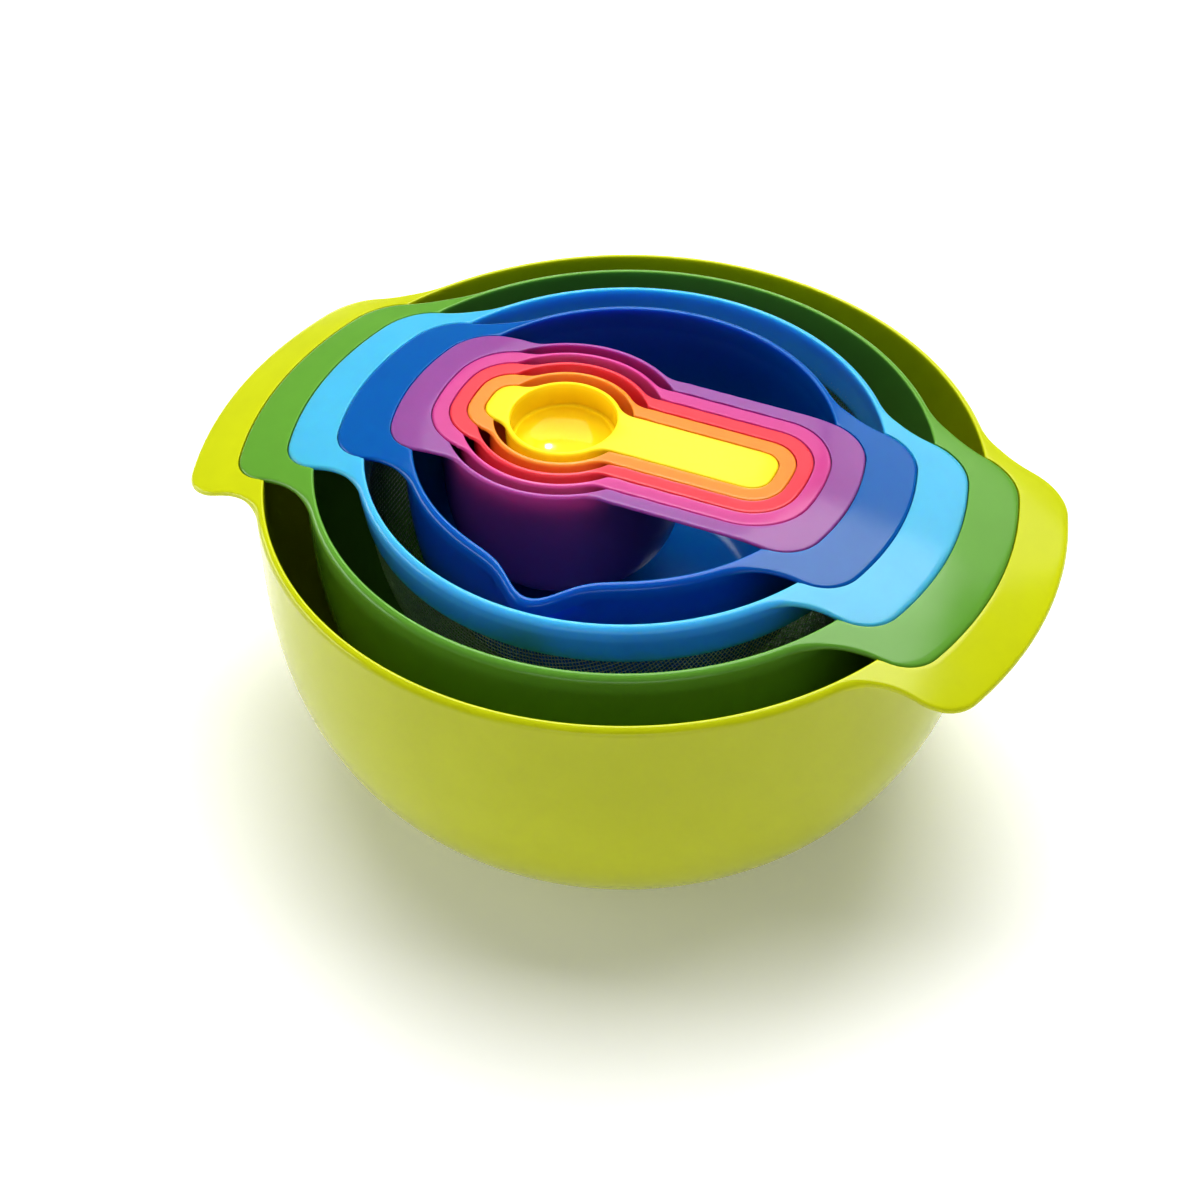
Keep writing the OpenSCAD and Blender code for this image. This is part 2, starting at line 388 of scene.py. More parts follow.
# The pouring spout: how far it reaches past the rim, its width, how far its tip is from the middle
# towards +X, and the height over which it fades into the wall.
SPOUT_REACH = -span("measuring_bowl", 1)[0] - RIM[MEASURING]
SPOUT_WIDTH = 12.2
SPOUT_OFF_CENTRE = 2.6
SPOUT_HEIGHT = 36.0
# The spout is a narrow beak with a wider, lower flare.
BEAK_SHARE = 0.86
FLARE_SHARE = 0.14
FLARE_WIDTH = 2


def spout_bulge(level, angles):
    """How far the rim is pushed out towards -Y to make the measuring bowl's pouring spout."""
    if level != MEASURING:
        return np.zeros_like(angles)
    across = np.abs((RIM[level] + 4.0) * np.cos(angles) - SPOUT_OFF_CENTRE) / SPOUT_WIDTH
    shape = np.exp(-across ** 2) * BEAK_SHARE + FLARE_SHARE * np.exp(-(across / FLARE_WIDTH) ** 2)
    return np.where(np.sin(angles) < 0, SPOUT_REACH * shape, 0.0)


def faded(bulge, z, top_z):
    """The spout's bulge at a height below the rim."""
    return bulge * smooth(1.0 - (top_z - z) / SPOUT_HEIGHT)


# Base radius, floor thickness and fullness of each bowl's power curve. A higher fullness is squarer.
WALLS = {
    SPOON: (14.0, 1.8, (5.0, 2.0)),
    QUARTER: (23.0, 1.8, (8.0, 2.2)),
    THIRD: (21.5, 1.8, (3.1, 1.65)),
    HALF: (20.0, 1.8, (2.5, 1.4)),
    ONE: (32.0, 1.8, (4.0, 1.7)),
    MEASURING: (47.0, 3.4, (2.9, 1.5)),
    COLANDER: (60.0, 2.4, (2.7, 1.5)),
    MIXING: (79.0, 3.4, (3.2, 1.4)),
}
WALL_ROWS = 30
# A wall starts this far below the lip's last row, so that the two never cross.
WALL_START = 0.2
# Where the floor's rows stand, as shares of its radius.
FLOOR_SHARES = (0.0, 0.3, 0.6, 0.85)


def vessel_rows(level, angles):
    """The closed cross-section of a bowl or cup, from the middle of its floor round to its base."""
    base, floor, fullness = WALLS[level]
    lip = lip_of(level)
    low = span(NODES[level], 2)[0]
    section = Section(level, angles)
    bulge = section.bulge
    top = section.lid(RIM[level] - lip / 2, 0.0).max() - lip / 2
    nothing = np.zeros_like(angles)
    draw_underside(section, draw_top(section))
    wall_top = section.rows[0][1]
    wall_foot = section.rows[-1][1]

    depth = top - low
    inner_start = start_angle(depth - floor, top, wall_top - WALL_START, fullness)
    inner_wall = power_curve(RIM[level] - lip, base - floor, depth - floor, top, fullness,
                             inner_start, WALL_ROWS)
    outer_start = start_angle(depth, top, wall_foot - WALL_START, fullness)
    outer_wall = power_curve(RIM[level], base, depth, top, fullness, outer_start, WALL_ROWS)

    if level == SPOON:
        rows = dish_rows(low + floor, RIM[level] - lip, wall_top - WALL_START, nothing)
    else:
        rows = [(nothing + (base - floor) * t, nothing + low + floor) for t in FLOOR_SHARES]
        rows += [(r + faded(bulge, z, top), z) for r, z in inner_wall[::-1]]
    rows += section.rows
    rows += [(r + faded(bulge, z, top), z) for r, z in outer_wall]
    rows += foot_rows(level, base, low, nothing)
    return rows


# The tablespoon's dish: the share of its radius before the corner starts, the depth of the hollowed
# floor, the height of the round corner, and the ledge's width.
DISH_FLAT = 0.42
DISH_HOLLOW = 1.7
DISH_CORNER = 3.9
LEDGE_WIDTH = 1.9
DISH_ROWS = 22
# Rows are closer together towards the corner.
DISH_CROWDING = 1.6
# How far the dish's wall leans in at its foot.
DISH_LEAN = 0.5


def dish_rows(floor_z, rim, top, nothing):
    """The tablespoon's hollow: a hollowed floor with a round corner, a narrow ledge and a steep wall."""
    dish = rim - LEDGE_WIDTH
    rows = []
    for t in 1.0 - np.linspace(1.0, 0.0, DISH_ROWS) ** DISH_CROWDING:
        corner = max(t - DISH_FLAT, 0.0) / (1.0 - DISH_FLAT)
        bend = DISH_CORNER * (1.0 - math.sqrt(1.0 - corner * corner))
        rows.append((dish * t, floor_z + DISH_HOLLOW * t * t + bend))
    ledge = floor_z + DISH_HOLLOW + DISH_CORNER
    rows += [(dish + 0.12, ledge + 0.2), (rim - 0.75, ledge + 0.25), (rim - DISH_LEAN, ledge + 0.5)]
    made = [(nothing + r, nothing + z) for r, z in rows]
    for t in np.linspace(0.0, 1.0, 9)[1:]:
        made.append((nothing + rim - DISH_LEAN * (1 - t), (ledge + 0.5) * (1 - t) + top * t))
    return made


# The non-slip ring under each of the two bowls that have one.
RING_NODES = {MIXING: "mixing_bowl_base_ring", MEASURING: "measuring_bowl_base_ring"}
RING_WIDTH = 7.0


def foot_rows(level, base, low, nothing):
    """The underside of the base: a groove for the non-slip ring, or a shallow recess."""
    if level in RING_NODES:
        ring_high = span(RING_NODES[level], 2)[1]
        outer = span(RING_NODES[level], 1)[1]
        inner = outer - RING_WIDTH
        places = [(outer + 0.4, low), (outer, low + 0.4), (outer, ring_high), (inner, ring_high),
                  (inner, low + 0.4), (inner - 0.4, low), (inner - 6, low), (inner - 7, low + 0.8)]
    else:
        places = [(base - 2.0, low), (base - 2.8, low + 0.5)]
    rows = [(nothing + r, nothing + z) for r, z in places]
    last_r, last_z = places[-1]
    for t in (0.66, 0.33, 0.0):
        rows.append((nothing + last_r * t, nothing + last_z))
    return rows


# ---------------------------------------------------------------- meshes

# Vertices closer together than this, in metres, become one.
WELD = 2e-6
# Edges sharper than this, in degrees, stay sharp when the mesh is shaded smooth.
SHARP = 34.0


def new_object(name, vertices, faces, smooth_angle=SHARP, weld=True):
    """A smooth-shaded object from vertices in millimetres."""
    mesh = bpy.data.meshes.new(name)
    mesh.from_pydata((np.asarray(vertices) * MM).tolist(), [], faces)
    if weld:
        clean = bmesh.new()
        clean.from_mesh(mesh)
        bmesh.ops.remove_doubles(clean, verts=clean.verts, dist=WELD)
        bmesh.ops.dissolve_degenerate(clean, edges=clean.edges, dist=WELD)
        bmesh.ops.recalc_face_normals(clean, faces=clean.faces)
        clean.to_mesh(mesh)
        clean.free()
    mesh.validate()
    piece = bpy.data.objects.new(name, mesh)
    bpy.context.scene.collection.objects.link(piece)
    mesh.shade_smooth()
    mesh.set_sharp_from_angle(angle=math.radians(smooth_angle))
    return piece


def grid_mesh(name, rows, angles, middle, closed):
    """Turns rows of (radius, height) into a mesh round the disc's middle.

    A section that is not closed starts and ends on the axis, where each end is one vertex."""
    radius = np.array([r for r, _ in rows])
    height = np.array([z for _, z in rows])
    if not closed:
        radius, height = radius[1:-1], height[1:-1]
    rings, count = radius.shape
    x = middle + radius * np.cos(angles)
    y = radius * np.sin(angles)
    vertices = np.stack([x, y, height], 2).reshape(-1, 3)
    near = np.arange(count)
    far = (near + 1) % count
    faces = []
    for k in range(rings if closed else rings - 1):
        here, there = k * count, ((k + 1) % rings) * count
        faces += np.stack([here + near, here + far, there + far, there + near], 1).tolist()
    if not closed:
        first, last_ring = len(vertices), (rings - 1) * count
        ends = [[middle, 0.0, height[0].mean()], [middle, 0.0, height[-1].mean()]]
        vertices = np.concatenate([vertices, ends])
        faces += np.stack([np.full(count, first), far, near], 1).tolist()
        faces += np.stack([np.full(count, first + 1), last_ring + near, last_ring + far], 1).tolist()
    return new_object(name, vertices, faces)


COARSE = 1.0
CUP_SPACING = 1.2 * COARSE
BOWL_SPACING = 2.0 * COARSE


def make_vessel(level):
    """A whole bowl or cup with its handles."""
    angles = stations(level, CUP_SPACING if is_cup(level) else BOWL_SPACING)
    return grid_mesh(NODES[level] + "_moulding", vessel_rows(level, angles), angles, disc_x(level), False)


DRAIN_RINGS = 6
DRAIN_PITCH = 10.4
DRAIN_RADIUS = 2.5
DRAIN_SIDES = 28
# A drill's length, and the height of its middle above the colander's foot.
DRILL_LENGTH = 40
DRILL_MIDDLE = 10


def drill_colander(piece):
    """Cuts the drain holes: one in the middle and rings of six, twelve and so on round it."""
    low = span("colander", 2)[0]
    drills = bmesh.new()
    places = [(0.0, 0.0)]
    for ring in range(1, DRAIN_RINGS + 1):
        for k in range(6 * ring):
            # The half step keeps the holes off the seam at +X.
            turn = math.radians((k + 0.5) * 60 / ring)
            places.append((ring * DRAIN_PITCH * math.cos(turn), ring * DRAIN_PITCH * math.sin(turn)))
    for x, y in places:
        shift = Matrix.Translation(Vector((x, y, low + DRILL_MIDDLE)) * MM)
        bmesh.ops.create_cone(drills, cap_ends=True, segments=DRAIN_SIDES, radius1=DRAIN_RADIUS * MM,
                              radius2=DRAIN_RADIUS * MM, depth=DRILL_LENGTH * MM, matrix=shift)
    mesh = bpy.data.meshes.new("drills")
    drills.to_mesh(mesh)
    drills.free()
    cutter = bpy.data.objects.new("drills", mesh)
    bpy.context.scene.collection.objects.link(cutter)
    cut = piece.modifiers.new("drain holes", "BOOLEAN")
    cut.operation = "DIFFERENCE"
    cut.solver = "EXACT"
    cut.object = cutter
    bpy.context.view_layer.update()
    graph = bpy.context.evaluated_depsgraph_get()
    drilled = bpy.data.meshes.new_from_object(piece.evaluated_get(graph))
    piece.modifiers.clear()
    piece.data = drilled
    bpy.data.objects.remove(cutter)
    drilled.shade_smooth()
    drilled.set_sharp_from_angle(angle=math.radians(SHARP))


# ---------------------------------------------------------------- the sieve

# The skirt leans in by this much from the rim to its foot.
SKIRT_IN = 1.6
SKIRT_THICK = 2.4
SKIRT_EDGE = 0.7


def make_sieve_frame():
    """The sieve's ring and handles, whose skirt is moulded over the mesh's edge."""
    angles = stations(SIEVE, BOWL_SPACING)
    nothing = np.zeros_like(angles)
    section = Section(SIEVE, angles)
    draw_underside(section, draw_top(section))
    foot = span("sieve_frame", 2)[0]
    straight_foot = foot + SKIRT_EDGE
    wall_top, wall_foot = section.rows[0][1], section.rows[-1][1]
    outer = RIM[SIEVE] - SKIRT_IN
    inner = outer - SKIRT_THICK
    rows = list(section.rows)
    for t in np.linspace(0.0, 1.0, 10)[1:]:
        rows.append((RIM[SIEVE] - SKIRT_IN * t + nothing, wall_foot * (1 - t) + straight_foot * t))
    for turn in np.linspace(0.0, math.pi / 2, 5)[1:]:
        rows.append((outer - SKIRT_EDGE * (1 - math.cos(turn)) + nothing,
                     foot + SKIRT_EDGE * (1 - math.sin(turn)) + nothing))
    for turn in np.linspace(math.pi / 2, 0.0, 5):
        rows.append((inner + SKIRT_EDGE * (1 - math.cos(turn)) + nothing,
                     foot + SKIRT_EDGE * (1 - math.sin(turn)) + nothing))
    for t in np.linspace(0.0, 1.0, 9)[1:-1]:
        rows.append((inner + (RIM[SIEVE] - BOWL_LIP - inner) * t + nothing,
                     straight_foot * (1 - t) + (wall_top - WALL_START) * t))
    return grid_mesh("sieve_frame_moulding", rows, angles, 0.0, True)


# The cloth's middle surface follows the CAD shell, whose base, fullness and thickness these are.
MESH_BASE = 30.0
MESH_FULLNESS = (2.4, 1.7)
MESH_THICK = 1.0
WIRE_PITCH = 1.7 * 1.0
WIRE_RADIUS = 0.16
WIRE_SIDES = 4
# Points on the curved wall, on the flat middle and along the finished profile.
CURVE_POINTS = 400
MIDDLE_POINTS = 60
PROFILE_POINTS = 500


def mesh_profile():
    """Arc length from the middle, radius, height and outward normal of the cloth's middle surface."""
    low, high = span("sieve_mesh", 2)
    half = MESH_THICK / 2
    angles = np.linspace(math.pi / 2, 0.0, CURVE_POINTS)
    base = MESH_BASE - half
    top = span("sieve_mesh", 0)[1] - half
    radius = base + (top - base) * np.cos(angles).clip(0, 1) ** (2 / MESH_FULLNESS[1])
    height = high - (high - low - half) * np.sin(angles) ** (2 / MESH_FULLNESS[0])
    radius = np.concatenate([np.linspace(0.0, base, MIDDLE_POINTS)[:-1], radius])
    height = np.concatenate([np.full(MIDDLE_POINTS - 1, low + half), height])
    length = np.concatenate([[0.0], np.cumsum(np.hypot(np.diff(radius), np.diff(height)))])
    even = np.linspace(0.0, length[-1], PROFILE_POINTS)
    radius = np.interp(even, length, radius)
    height = np.interp(even, length, height)
    across, up = np.gradient(radius, even), np.gradient(height, even)
    size = np.hypot(across, up)
    return even, radius, height, up / size, -across / size


def on_mesh(profile, u, v, rise):
    """The point of the mesh's surface at the cloth's own coordinates, moved outwards by rise."""
    length, radius, height, normal_r, normal_z = profile
    s = np.hypot(u, v)
    r = np.interp(s, length, radius) + rise * np.interp(s, length, normal_r)
    z = np.interp(s, length, height) + rise * np.interp(s, length, normal_z)
    scale = np.where(s > 1e-9, r / np.maximum(s, 1e-9), 1.0)
    return np.stack([u * scale, v * scale, z], -1)


def make_wires(name, along_u):
    """Every wire that runs one way through the cloth, going over and under the others."""
    profile = mesh_profile()
    limit = profile[0][-1]
    last = int(limit / WIRE_PITCH)
    vertices, faces = [], []
    start = 0
    for k in range(-last, last + 1):
        line = k * WIRE_PITCH
        ends = math.sqrt(max(limit * limit - line * line, 0.0))
        crossings = np.arange(-int(ends / WIRE_PITCH), int(ends / WIRE_PITCH) + 1)
        if len(crossings) < 3:
            continue
        along = crossings * WIRE_PITCH
        rise = WIRE_RADIUS * np.where((crossings + k) % 2 == 0, 1.0, -1.0)
        across = np.full_like(along, line)
        u, v = (along, across) if along_u else (across, along)
        centre = on_mesh(profile, u, v, rise if along_u else -rise)
        tangent = np.gradient(centre, axis=0)
        tangent /= np.linalg.norm(tangent, axis=1)[:, None]
        outward = on_mesh(profile, u, v, 1.0) - on_mesh(profile, u, v, 0.0)
        side = np.cross(tangent, outward)
        side /= np.linalg.norm(side, axis=1)[:, None]
        lift = np.cross(side, tangent)
        for q in range(WIRE_SIDES):
            turn = 2 * math.pi * q / WIRE_SIDES
            vertices.append(centre + WIRE_RADIUS * (math.cos(turn) * side + math.sin(turn) * lift))
        count = len(along)
        index = np.arange(count - 1)
        for q in range(WIRE_SIDES):
            a = start + q * count + index
            b = start + (q + 1) % WIRE_SIDES * count + index
            faces += np.stack([a, b, b + 1, a + 1], 1).tolist()
        caps = [start + q * count for q in range(WIRE_SIDES)]
        faces.append(caps[::-1])
        faces.append([c + count - 1 for c in caps])
        start += WIRE_SIDES * count
    return new_object(name, np.concatenate(vertices), faces, smooth_angle=60.0, weld=False)


# The ring's rounded foot, and half the width of a groove at its mouth and at its floor.
RING_ROUND = 0.8
GROOVE_TOP = 0.45
GROOVE_FLOOR = 0.25
GROOVE_DEPTH = 0.35


def make_base_ring(level):
    """The non-slip ring: rounded, with two fine grooves in its foot."""
    node = RING_NODES[level]
    low, high = span(node, 2)
    outer = span(node, 1)[1]
    inner = outer - RING_WIDTH
    rows = [(inner, high), (outer, high)]
    for turn in np.linspace(0.0, math.pi / 2, 5):
        rows.append((outer - RING_ROUND * (1 - math.cos(turn)), low + RING_ROUND * (1 - math.sin(turn))))
    for groove in (0.66, 0.34):
        at = inner + RING_WIDTH * groove
        rows += [(at + GROOVE_TOP, low), (at + GROOVE_FLOOR, low + GROOVE_DEPTH),
                 (at - GROOVE_FLOOR, low + GROOVE_DEPTH), (at - GROOVE_TOP, low)]
    for turn in np.linspace(math.pi / 2, 0.0, 5):
        rows.append((inner + RING_ROUND * (1 - math.cos(turn)), low + RING_ROUND * (1 - math.sin(turn))))
    angles = np.linspace(0, 2 * math.pi, 180, endpoint=False)
    nothing = np.zeros_like(angles)
    rows = [(r + nothing, z + nothing) for r, z in rows]
    return grid_mesh(node + "_rubber", rows, angles, 0.0, True)


# ---------------------------------------------------------------- materials

def srgb(red, green, blue):
    """An 8-bit display colour as linear light."""
    values = [c / 255 for c in (red, green, blue)]
    return [v / 12.92 if v < 0.04045 else ((v + 0.055) / 1.055) ** 2.4 for v in values] + [1.0]


# A Mix node has a set of sockets for each data type; these are its colour sockets.
MIX_A, MIX_B, MIX_RESULT = 6, 7, 2


class Surface:
    """A material with a Principled shader, and helpers that add texture nodes to it."""

    def __init__(self, name):
        self.material = bpy.data.materials.new(name)
        self.material.use_nodes = True
        self.nodes = self.material.node_tree.nodes
        self.links = self.material.node_tree.links
        self.shader = self.nodes["Principled BSDF"]
        self.place = self.nodes.new("ShaderNodeTexCoord").outputs["Object"]

    def set(self, **values):
        """Sets plain values on the shader's sockets."""
        for name, value in values.items():
            self.shader.inputs[name.replace("_", " ")].default_value = value

    def drive(self, socket, value):
        """Drives one of the shader's sockets from a node's output."""
        self.links.new(value, self.shader.inputs[socket])

    def noise(self, scale, detail=2.0, stretch=(1, 1, 1), roughness=0.5, distortion=0.0):
        mapping = self.nodes.new("ShaderNodeMapping")
        mapping.inputs["Scale"].default_value = stretch
        self.links.new(self.place, mapping.inputs["Vector"])
        noise = self.nodes.new("ShaderNodeTexNoise")
        noise.inputs["Scale"].default_value = scale
        noise.inputs["Detail"].default_value = detail
        noise.inputs["Roughness"].default_value = roughness
        noise.inputs["Distortion"].default_value = distortion
        self.links.new(mapping.outputs["Vector"], noise.inputs["Vector"])
        return noise.outputs["Fac"]

    def ramp(self, factor, low, high, from_low=0.0, from_high=1.0):
        """Maps a factor on to a range of numbers."""
        node = self.nodes.new("ShaderNodeMapRange")
        for name, value in (("From Min", from_low), ("From Max", from_high),
                            ("To Min", low), ("To Max", high)):
            node.inputs[name].default_value = value
        self.links.new(factor, node.inputs["Value"])
        return node.outputs["Result"]

    def mix(self, factor, first, second):
        """Mixes two colours, each a plain value or a node's output."""
        node = self.nodes.new("ShaderNodeMix")
        node.data_type = "RGBA"
        self.links.new(factor, node.inputs["Factor"])
        self.join(first, node.inputs[MIX_A])
        self.join(second, node.inputs[MIX_B])
        return node.outputs[MIX_RESULT]

    def join(self, value, socket):
        """Links a node's output to a socket, or sets a plain value on it."""
        if hasattr(value, "is_linked"):
            self.links.new(value, socket)
        else:
            socket.default_value = value

    def bump(self, layers):
        """Stacks bumps: each layer is (height, strength, distance in metres)."""
        normal = None
        for height, strength, distance in layers:
            node = self.nodes.new("ShaderNodeBump")
            node.inputs["Strength"].default_value = strength
            node.inputs["Distance"].default_value = distance
            self.links.new(height, node.inputs["Height"])
            if normal is not None:
                self.links.new(normal, node.inputs["Normal"])
            normal = node.outputs["Normal"]
        self.drive("Normal", normal)


def tinted(colour, factor):
    """A colour made brighter or darker by a factor."""
    return [min(c * factor, 1.0) for c in colour[:3]] + [1.0]


SATIN_ROUGHNESS = (0.13, 0.18)
POLISHED_ROUGHNESS, UPPER_ROUGHNESS = 0.08, 0.32
PLASTIC_IOR = 1.49
# How far light travels inside the plastic, in metres, at full translucency.
TRAVEL = 0.01


def moulded_plastic(name, colour, shine, glow, spread, polished_below=None):
    """Injection-moulded polypropylene: satin and translucent, with a fine grain and faint flow marks.

    The translucency's weight is glow, and spread says how far red, green and blue light travel.
    Below the height polished_below, in metres, the surface is polished."""
    surface = Surface(name)
    flow = surface.noise(22, 3, (1, 1, 0.5), 0.55, 0.6)
    cloud = surface.noise(90, 3)
    colours = surface.mix(surface.ramp(flow, 0, 1, 0.3, 0.7), tinted(colour, 0.97), tinted(colour, 1.03))
    colours = surface.mix(surface.ramp(cloud, 0, 0.3, 0.45, 0.75), colours, tinted(colour, 0.93))
    surface.drive("Base Color", colours)
    grain = surface.noise(2600, 2)
    wave = surface.noise(70, 2)
    if polished_below is None:
        finish = surface.ramp(cloud, *SATIN_ROUGHNESS, 0.3, 0.7)
    else:
        height = surface.nodes.new("ShaderNodeSeparateXYZ")
        surface.links.new(surface.place, height.inputs[0])
        finish = surface.ramp(height.outputs["Z"], POLISHED_ROUGHNESS, UPPER_ROUGHNESS,
                              polished_below - MM, polished_below + MM)
    surface.drive("Roughness", finish)
    surface.bump([(wave, 0.05, 0.0005), (grain, 0.04, 0.00001)])
    surface.set(IOR=PLASTIC_IOR, Specular_IOR_Level=shine, Subsurface_Weight=glow,
                Subsurface_Scale=TRAVEL * glow, Subsurface_Radius=spread)
    return surface.material


def soft_rubber(name, colour):
    """Matt rubber with a fine pebbled grain."""
    surface = Surface(name)
    cloud = surface.noise(60, 4)
    surface.drive("Base Color", surface.mix(surface.ramp(cloud, 0, 1, 0.3, 0.7),
                                            tinted(colour, 0.85), tinted(colour, 1.1)))
    surface.drive("Roughness", surface.ramp(cloud, 0.62, 0.8))
    surface.bump([(surface.noise(1800, 3), 0.3, 0.00008)])
    return surface.material


def drawn_wire(name):
    """Stainless wire, a little dull and darker where the cloth was pressed."""
    surface = Surface(name)
    cloud = surface.noise(35, 4)
    streak = surface.noise(900, 3, (1, 1, 4))
    shade = surface.mix(surface.ramp(cloud, 0, 1, 0.3, 0.7), srgb(168, 166, 160), srgb(214, 212, 206))
    surface.drive("Base Color",
                  surface.mix(surface.ramp(streak, 0, 0.5, 0.4, 0.8), shade, srgb(104, 100, 92)))
    surface.drive("Roughness", surface.ramp(streak, 0.34, 0.5))
    surface.bump([(streak, 0.15, 0.00002)])
    surface.set(Metallic=1.0)
    return surface.material


# Each node's material name, and its colour.
COLOURS = {
    "mixing_bowl": ("lime_plastic", srgb(190, 196, 12)),
    "colander": ("green_plastic", srgb(100, 155, 54)),
    "sieve_frame": ("sky_plastic", srgb(80, 177, 238)),
    "measuring_bowl": ("navy_plastic", srgb(2, 94, 166)),
    "one_cup": ("purple_plastic", srgb(150, 84, 150)),
    "half_cup": ("pink_plastic", srgb(200, 68, 140)),
    "third_cup": ("red_plastic", srgb(238, 60, 74)),
    "quarter_cup": ("orange_plastic", srgb(252, 138, 46)),
    "tablespoon": ("yellow_plastic", srgb(254, 216, 26)),
}
# How far red, green and blue light travel in the plastics that are tinted inside, and in the rest.
SPREADS = {ONE: (1.6, 0.3, 0.7), MEASURING: (1.2, 0.5, 1.3), SIEVE: (0.3, 0.8, 1.6)}
EVEN_SPREAD = (1.0, 1.0, 1.0)
SHINE, SPOON_SHINE = 0.36, 0.14
# The translucency of the thin inner items, and of the two thick outer ones.
INNER_GLOW, OUTER_GLOW = 0.8, 0.45
# The spoon is polished from this far below the deck downwards, which is in its dish.
POLISH_DROP = 2.5


def place(piece, material, body, node):
    """Gives a piece its material, and puts it on its body in a CAD node's stead."""
    piece.data.materials.clear()
    piece.data.materials.append(material)
    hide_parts(node)
    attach(piece, body)


for level, node in enumerate(NODES):
    slot, colour = COLOURS[node]
    piece = make_sieve_frame() if level == SIEVE else make_vessel(level)
    if level == COLANDER:
        drill_colander(piece)
    body = "sieve" if level == SIEVE else node
    plastic = moulded_plastic(slot.replace("_", " "), colour,
                              shine=SPOON_SHINE if level == SPOON else SHINE,
                              glow=INNER_GLOW if level <= SIEVE else OUTER_GLOW,
                              spread=SPREADS.get(level, EVEN_SPREAD),
                              polished_below=(DECK_Z - POLISH_DROP) * MM if level == SPOON else None)
    place(piece, plastic, body, node)

steel = drawn_wire("steel wire")
for name, along_u in (("sieve_mesh_warp_wires", True), ("sieve_mesh_weft_wires", False)):
    place(make_wires(name, along_u), steel, "sieve", "sieve_mesh")

for level, slot, colour in ((MIXING, "lime_rubber", srgb(120, 140, 20)),
                            (MEASURING, "navy_rubber", srgb(20, 30, 80))):
    rubber = soft_rubber(slot.replace("_", " "), colour)
    place(make_base_ring(level), rubber, NODES[level], RING_NODES[level])


# ---------------------------------------------------------------- floor, light and camera

# From here on, distances are in metres.
WHITE = (1.0, 1.0, 1.0, 1.0)
FLOOR_RADIUS = 1.8
FLOOR_GREY = (0.92, 0.92, 0.92, 1.0)
FLOOR_ROUGHNESS = 0.55
# The floor glows a little under the nest and more further out, where it fades to white.
NEAR_GLOW, FAR_GLOW = 0.19, 0.8
NEAR, FAR = 0.25, 1.5


def make_floor():
    """A pale disc whose painted glow lightens the shadow under the nest and fades it into the white
    surround.
    """
    mesh = bpy.data.meshes.new("floor")
    shape = bmesh.new()
    bmesh.ops.create_circle(shape, cap_ends=True, segments=96, radius=FLOOR_RADIUS)
    shape.to_mesh(mesh)
    shape.free()
    floor = bpy.data.objects.new("floor", mesh)
    bpy.context.scene.collection.objects.link(floor)
    surface = Surface("pale floor")
    surface.set(Base_Color=FLOOR_GREY, Roughness=FLOOR_ROUGHNESS, Emission_Color=WHITE)
    reach = surface.nodes.new("ShaderNodeVectorMath")
    reach.operation = "LENGTH"
    surface.links.new(surface.place, reach.inputs[0])
    surface.drive("Emission Strength", surface.ramp(reach.outputs["Value"], NEAR_GLOW, FAR_GLOW, NEAR, FAR))
    mesh.materials.append(surface.material)


# The point that every light faces.
LIT_POINT = (0, 0, 0.1)


def soft_light(name, azimuth, elevation, distance, size, power):
    """A softbox that faces the nest from a direction in degrees. Azimuth 0 is at -Y, and 90 at +X."""
    lamp = bpy.data.lights.new(name, "AREA")
    lamp.shape = "RECTANGLE"
    lamp.size, lamp.size_y = size
    lamp.energy = power
    light = bpy.data.objects.new(name, lamp)
    a, e = math.radians(azimuth), math.radians(elevation)
    way = Vector((math.sin(a) * math.cos(e), -math.cos(a) * math.cos(e), math.sin(e)))
    light.location = Vector(LIT_POINT) + way * distance
    light.rotation_mode = "QUATERNION"
    light.rotation_quaternion = way.to_track_quat("Z", "Y")
    light.visible_camera = False
    bpy.context.scene.collection.objects.link(light)
    return light


def make_spark():
    """A small lamp that lights only the tablespoon, for the highlight in its dish."""
    spark = soft_light("spark", 200.9, 41.6, 1.5, (0.05, 0.05), 2.2)
    spoon_only = bpy.data.collections.new("spark receivers")
    spoon_only.objects.link(bpy.data.objects["tablespoon_moulding"])
    spark.light_linking.receiver_collection = spoon_only


CAMERA_DISTANCE = 1.0
CAMERA_AZIMUTH = math.radians(24.6)
CAMERA_ELEVATION = math.radians(42.72)
CAMERA_ROLL = math.radians(0.857)
# Where the middle of the frame lies from the middle of the mixing bowl's rim.
OFF_RIGHT, OFF_UP = 0.00905, 0.04714
LENS = 83.51
SENSOR = 36.0


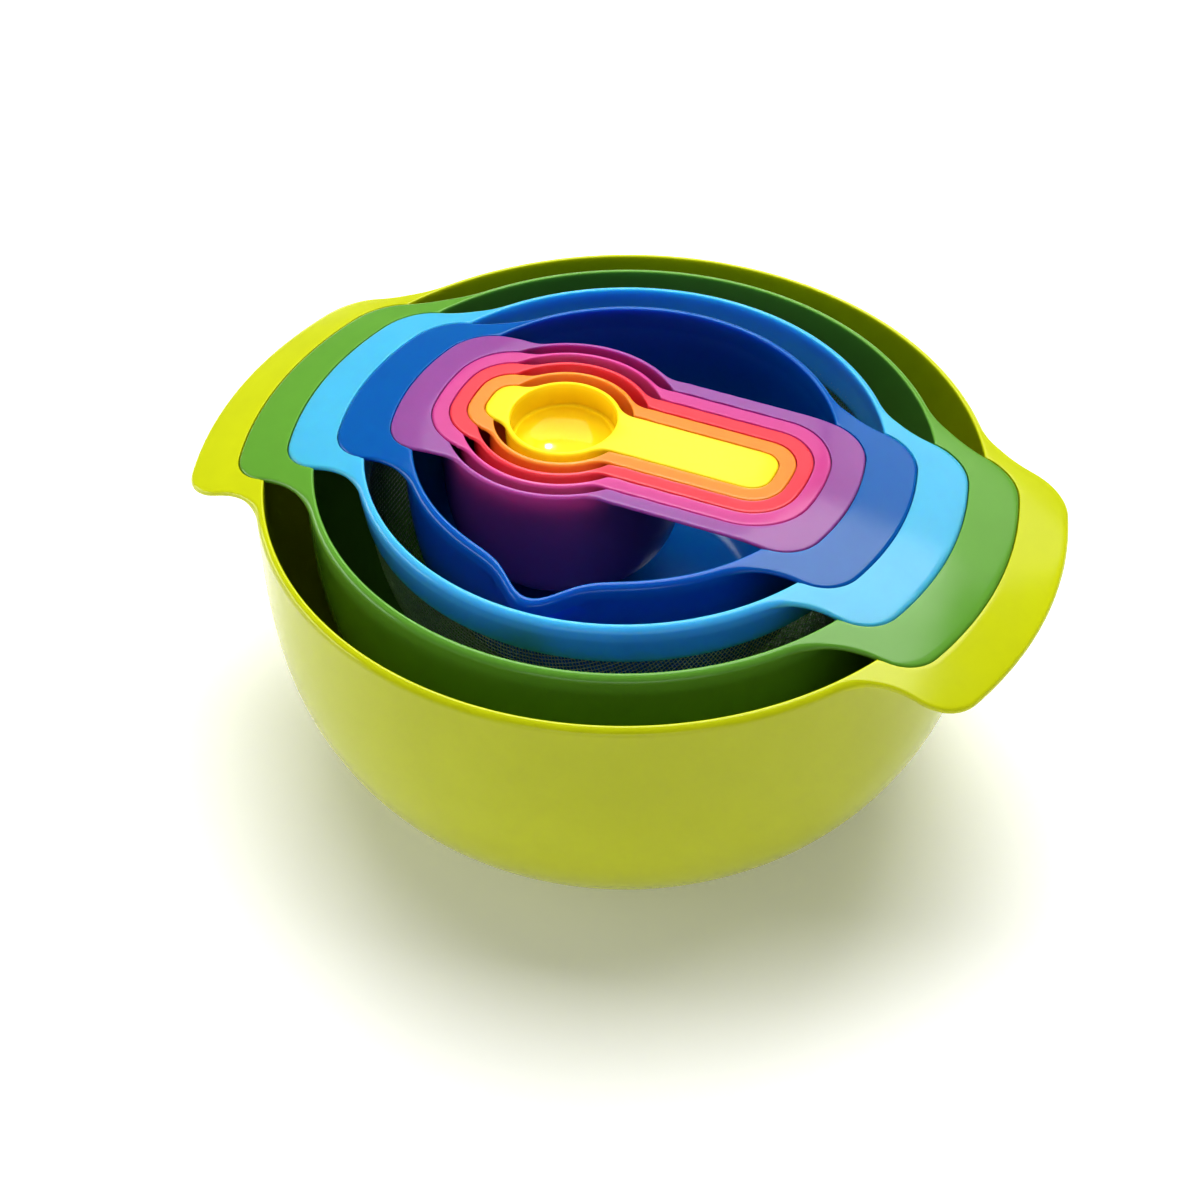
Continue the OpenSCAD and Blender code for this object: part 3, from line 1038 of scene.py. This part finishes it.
def make_camera():
    """The camera, which looks down on the nest from the front right."""
    azimuth, elevation, roll = CAMERA_AZIMUTH, CAMERA_ELEVATION, CAMERA_ROLL
    target = Vector((0, 0, span("mixing_bowl", 2)[1] * MM - 0.0005))
    right = Vector((math.cos(azimuth), math.sin(azimuth), 0))
    forward = Vector((-math.sin(azimuth) * math.cos(elevation),
                      math.cos(azimuth) * math.cos(elevation), -math.sin(elevation)))
    up = right.cross(forward)
    rolled_right = math.cos(roll) * right - math.sin(roll) * up
    rolled_up = math.sin(roll) * right + math.cos(roll) * up
    where = target - OFF_RIGHT * rolled_right - OFF_UP * rolled_up - CAMERA_DISTANCE * forward
    data = bpy.data.cameras.new("camera")
    data.sensor_width = SENSOR
    data.lens = LENS
    camera = bpy.data.objects.new("camera", data)
    bpy.context.scene.collection.objects.link(camera)
    turn = Matrix((rolled_right, rolled_up, -forward)).transposed()
    camera.matrix_world = Matrix.Translation(where) @ turn.to_4x4()
    bpy.context.scene.camera = camera


def make_world(strength):
    """A dim surround for light and reflections, which the camera itself sees as plain white."""
    world = bpy.data.worlds.new("studio")
    bpy.context.scene.world = world
    world.use_nodes = True
    nodes, links = world.node_tree.nodes, world.node_tree.links
    dim = nodes["Background"]
    dim.inputs["Color"].default_value = WHITE
    dim.inputs["Strength"].default_value = strength
    white = nodes.new("ShaderNodeBackground")
    white.inputs["Color"].default_value = WHITE
    path = nodes.new("ShaderNodeLightPath")
    choose = nodes.new("ShaderNodeMixShader")
    links.new(path.outputs["Is Camera Ray"], choose.inputs[0])
    links.new(dim.outputs[0], choose.inputs[1])
    links.new(white.outputs[0], choose.inputs[2])
    links.new(choose.outputs[0], nodes["World Output"].inputs["Surface"])


make_floor()
make_world(strength=0.16)
# Each light's name, azimuth, elevation, distance, width and height, and power in watts.
SOFTBOXES = [
    ("overhead", 192, 72, 1.3, (1.5, 1.2), 31.0),
    ("back low", 166, 33, 1.5, (0.7, 0.5), 1.8),
    ("back left", 206, 39, 1.5, (0.8, 0.32), 1.3),
    ("left", 285, 8, 1.7, (1.5, 0.4), 8.0),
    ("front", 20, 4, 1.7, (1.8, 0.3), 4.5),
]
for settings in SOFTBOXES:
    soft_light(*settings)
make_spark()
make_camera()
bpy.context.scene.view_settings.view_transform = "Standard"
bpy.context.scene.view_settings.gamma = 0.88
